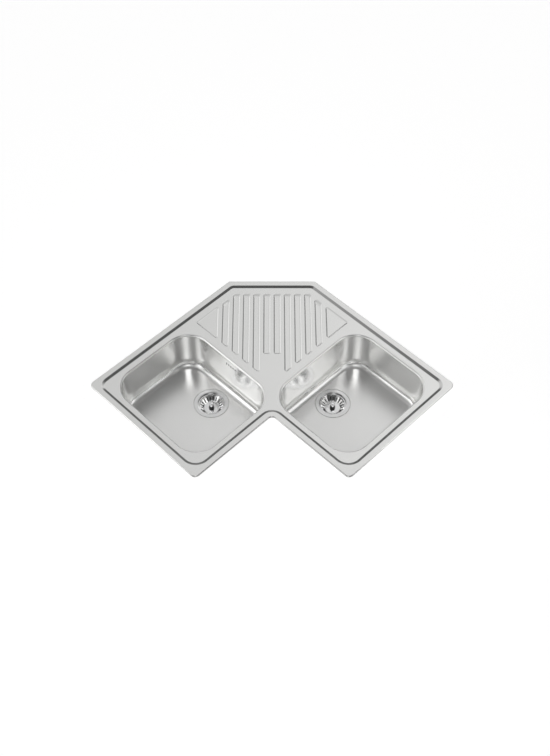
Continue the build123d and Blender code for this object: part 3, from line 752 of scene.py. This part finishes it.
def make_camera():
    data = bpy.data.cameras.new("camera")
    camera = bpy.data.objects.new("camera", data)
    bpy.context.scene.collection.objects.link(camera)
    data.sensor_width = 36.0
    data.lens = FOCAL_PIXELS / IMAGE_HEIGHT * data.sensor_width
    data.shift_x = (IMAGE_MIDDLE - AXIS_PIXEL) / IMAGE_HEIGHT
    data.clip_end = 50
    camera.location = plan(VIEW_PLAN, VIEW_PLAN, VIEW_HEIGHT)
    aim = plan(AIM_PLAN, AIM_PLAN, 0) - camera.location
    camera.rotation_euler = aim.to_track_quat("-Z", "Y").to_euler()
    bpy.context.scene.camera = camera


def white_material(name, shade, seen, mirrored):
    """Matt white that keeps shadows, with some light of its own for the camera, and for metal and glass."""
    n = Nodes(name)
    n.set(Base_Color=(shade, shade, shade, 1), Roughness=0.9)
    n.shader.inputs["Specular IOR Level"].default_value = 0.0
    path = n.add("ShaderNodeLightPath")
    reflected = n.math("MAXIMUM", path.outputs["Is Glossy Ray"], path.outputs["Is Transmission Ray"])
    glow = n.math("MAXIMUM", n.math("MULTIPLY", path.outputs["Is Camera Ray"], seen),
                  n.math("MULTIPLY", reflected, mirrored))
    n.shader.inputs["Emission Color"].default_value = (1, 1, 1, 1)
    n.link(glow, n.shader.inputs["Emission Strength"])
    return n.material


def make_stage():
    """The white floor far below, and the strip of white worktop that the sink's front and ends lie on."""
    square = [(-STAGE_HALF, -STAGE_HALF), (STAGE_HALF, -STAGE_HALF), (STAGE_HALF, STAGE_HALF),
              (-STAGE_HALF, STAGE_HALF)]
    floor = mesh_object("floor", [(x, y, FLOOR_LEVEL) for x, y in square], [(0, 1, 2, 3)])
    finish_piece(floor, white_material("floor_white", WHITE, WHITE_GLOW, FLOOR_MIRRORED))
    strip = Sheet()
    outer, inner = [], []
    for grow, loop in ((WORKTOP_OUTSIDE, outer), (-WORKTOP_INSIDE, inner)):
        far = OVERALL + grow
        near = WING + grow
        for u, v in ((far, 0.0), (far, near), (near, near), (near, far), (0.0, far)):
            loop.append(strip.add(plan(u, v, 0.0), (0, 0, 1)))
    for i in range(len(outer) - 1):
        strip.face([outer[i], outer[i + 1], inner[i + 1], inner[i]])
    worktop = strip.solid("worktop_strip", WORKTOP_SHEET)
    finish_piece(worktop, white_material("worktop_white", WHITE, WHITE_GLOW, WORKTOP_MIRRORED))


def softbox(name, place, aim, width, height, radiance):
    """A rectangular lamp of even brightness, as seen in the metal."""
    data = bpy.data.lights.new(name, "AREA")
    data.shape = "RECTANGLE"
    data.size, data.size_y = width, height
    data.energy = radiance * width * height * math.pi
    lamp = bpy.data.objects.new(name, data)
    bpy.context.scene.collection.objects.link(lamp)
    lamp.location = place
    lamp.rotation_euler = (aim - place).to_track_quat("-Z", "Y").to_euler()
    lamp.visible_camera = False
    return lamp


SIDE_BOX_SIZE, SIDE_BOX_LEVEL = 0.56, 1.7
FRONT_BOX_SIZE, FRONT_BOX_LEVEL = (0.7, 1.0), 2.8
SKY_DARK = 0.09
PANEL_BLEND = (-0.25, 0.25)             # from the panel's left to its right
PANEL_LEFT, PANEL_RIGHT = 0.66, 0.94    # how bright the panel behind the sink is, from left to right
PANEL_FRONT = (0.16, 0.46)              # where it begins overhead
PANEL_SKEW = 0.25                       # of its front edge, which lies further back on the right
PANEL_END = (0.30, 0.50)                # where it fades on the right
PANEL_FADED = 0.30
GAP_TOP = (0.44, 0.58)                  # the dark gap under the panel, straight behind the sink
GAP_SIDE = (0.36, 0.50)
SIDE_CARD = (-0.35, -0.55)              # the bright card low on the left
SIDE_CARD_TOP = (0.55, 0.72)
HORIZON = (0.16, 0.26)


def make_world():
    """A white room to the eye; in the metal a large bright panel behind the sink, and dark overhead."""
    world = bpy.data.worlds.new("studio")
    bpy.context.scene.world = world
    world.use_nodes = True
    n = Nodes(world.node_tree)

    def along(direction):
        node = n.add("ShaderNodeVectorMath", operation="DOT_PRODUCT")
        node.inputs[1].default_value = direction
        n.link(n.add("ShaderNodeTexCoord").outputs["Generated"], node.inputs[0])
        return node.outputs["Value"]

    right = along(Vector((1, 1, 0)).normalized())
    away = along(Vector((-1, 1, 0)).normalized())
    up = along(Vector((0, 0, 1)))
    panel = n.ramp(right, *PANEL_BLEND, PANEL_LEFT, PANEL_RIGHT)
    panel = n.math("MULTIPLY", panel, n.ramp(n.math("MULTIPLY_ADD", right, -PANEL_SKEW, away), *PANEL_FRONT))
    panel = n.math("MULTIPLY", panel, n.ramp(right, *PANEL_END, 1.0, PANEL_FADED))
    beside = n.ramp(n.math("ABSOLUTE", right), *GAP_SIDE)
    panel = n.math("MULTIPLY", panel, n.math("MAXIMUM", n.ramp(up, *GAP_TOP), beside))
    card = n.math("MULTIPLY", n.ramp(right, *SIDE_CARD), n.ramp(up, *SIDE_CARD_TOP, 1.0, 0.0))
    low = n.math("MAXIMUM", card, n.ramp(up, *HORIZON, 1.0, 0.0))
    level = n.math("MAXIMUM", n.math("MAXIMUM", panel, SKY_DARK), low)
    level = n.math("MAXIMUM", level, n.add("ShaderNodeLightPath").outputs["Is Camera Ray"])
    n.link(level, n.tree.nodes["Background"].inputs["Color"])


def make_lights():
    make_world()
    for name, side in (("left_box", -1), ("right_box", 1)):
        softbox(name, room(side * 0.76, 0.68, 0.52), room(-side * 0.5, 0.68, 0.4),
                SIDE_BOX_SIZE, SIDE_BOX_SIZE, SIDE_BOX_LEVEL)
    softbox("front_box", room(0, 1.9, 2.0), room(0, 0.5, 0), *FRONT_BOX_SIZE, FRONT_BOX_LEVEL)


def main():
    materials = make_materials()
    dress_cad_nodes(materials)
    finish_piece(make_deck(), materials["deck"])
    for side in ("left", "right"):
        finish_piece(make_bowl(side), materials["bowl"])
    make_camera()
    make_stage()
    make_lights()
    bpy.context.scene.view_settings.view_transform = "Standard"


main()
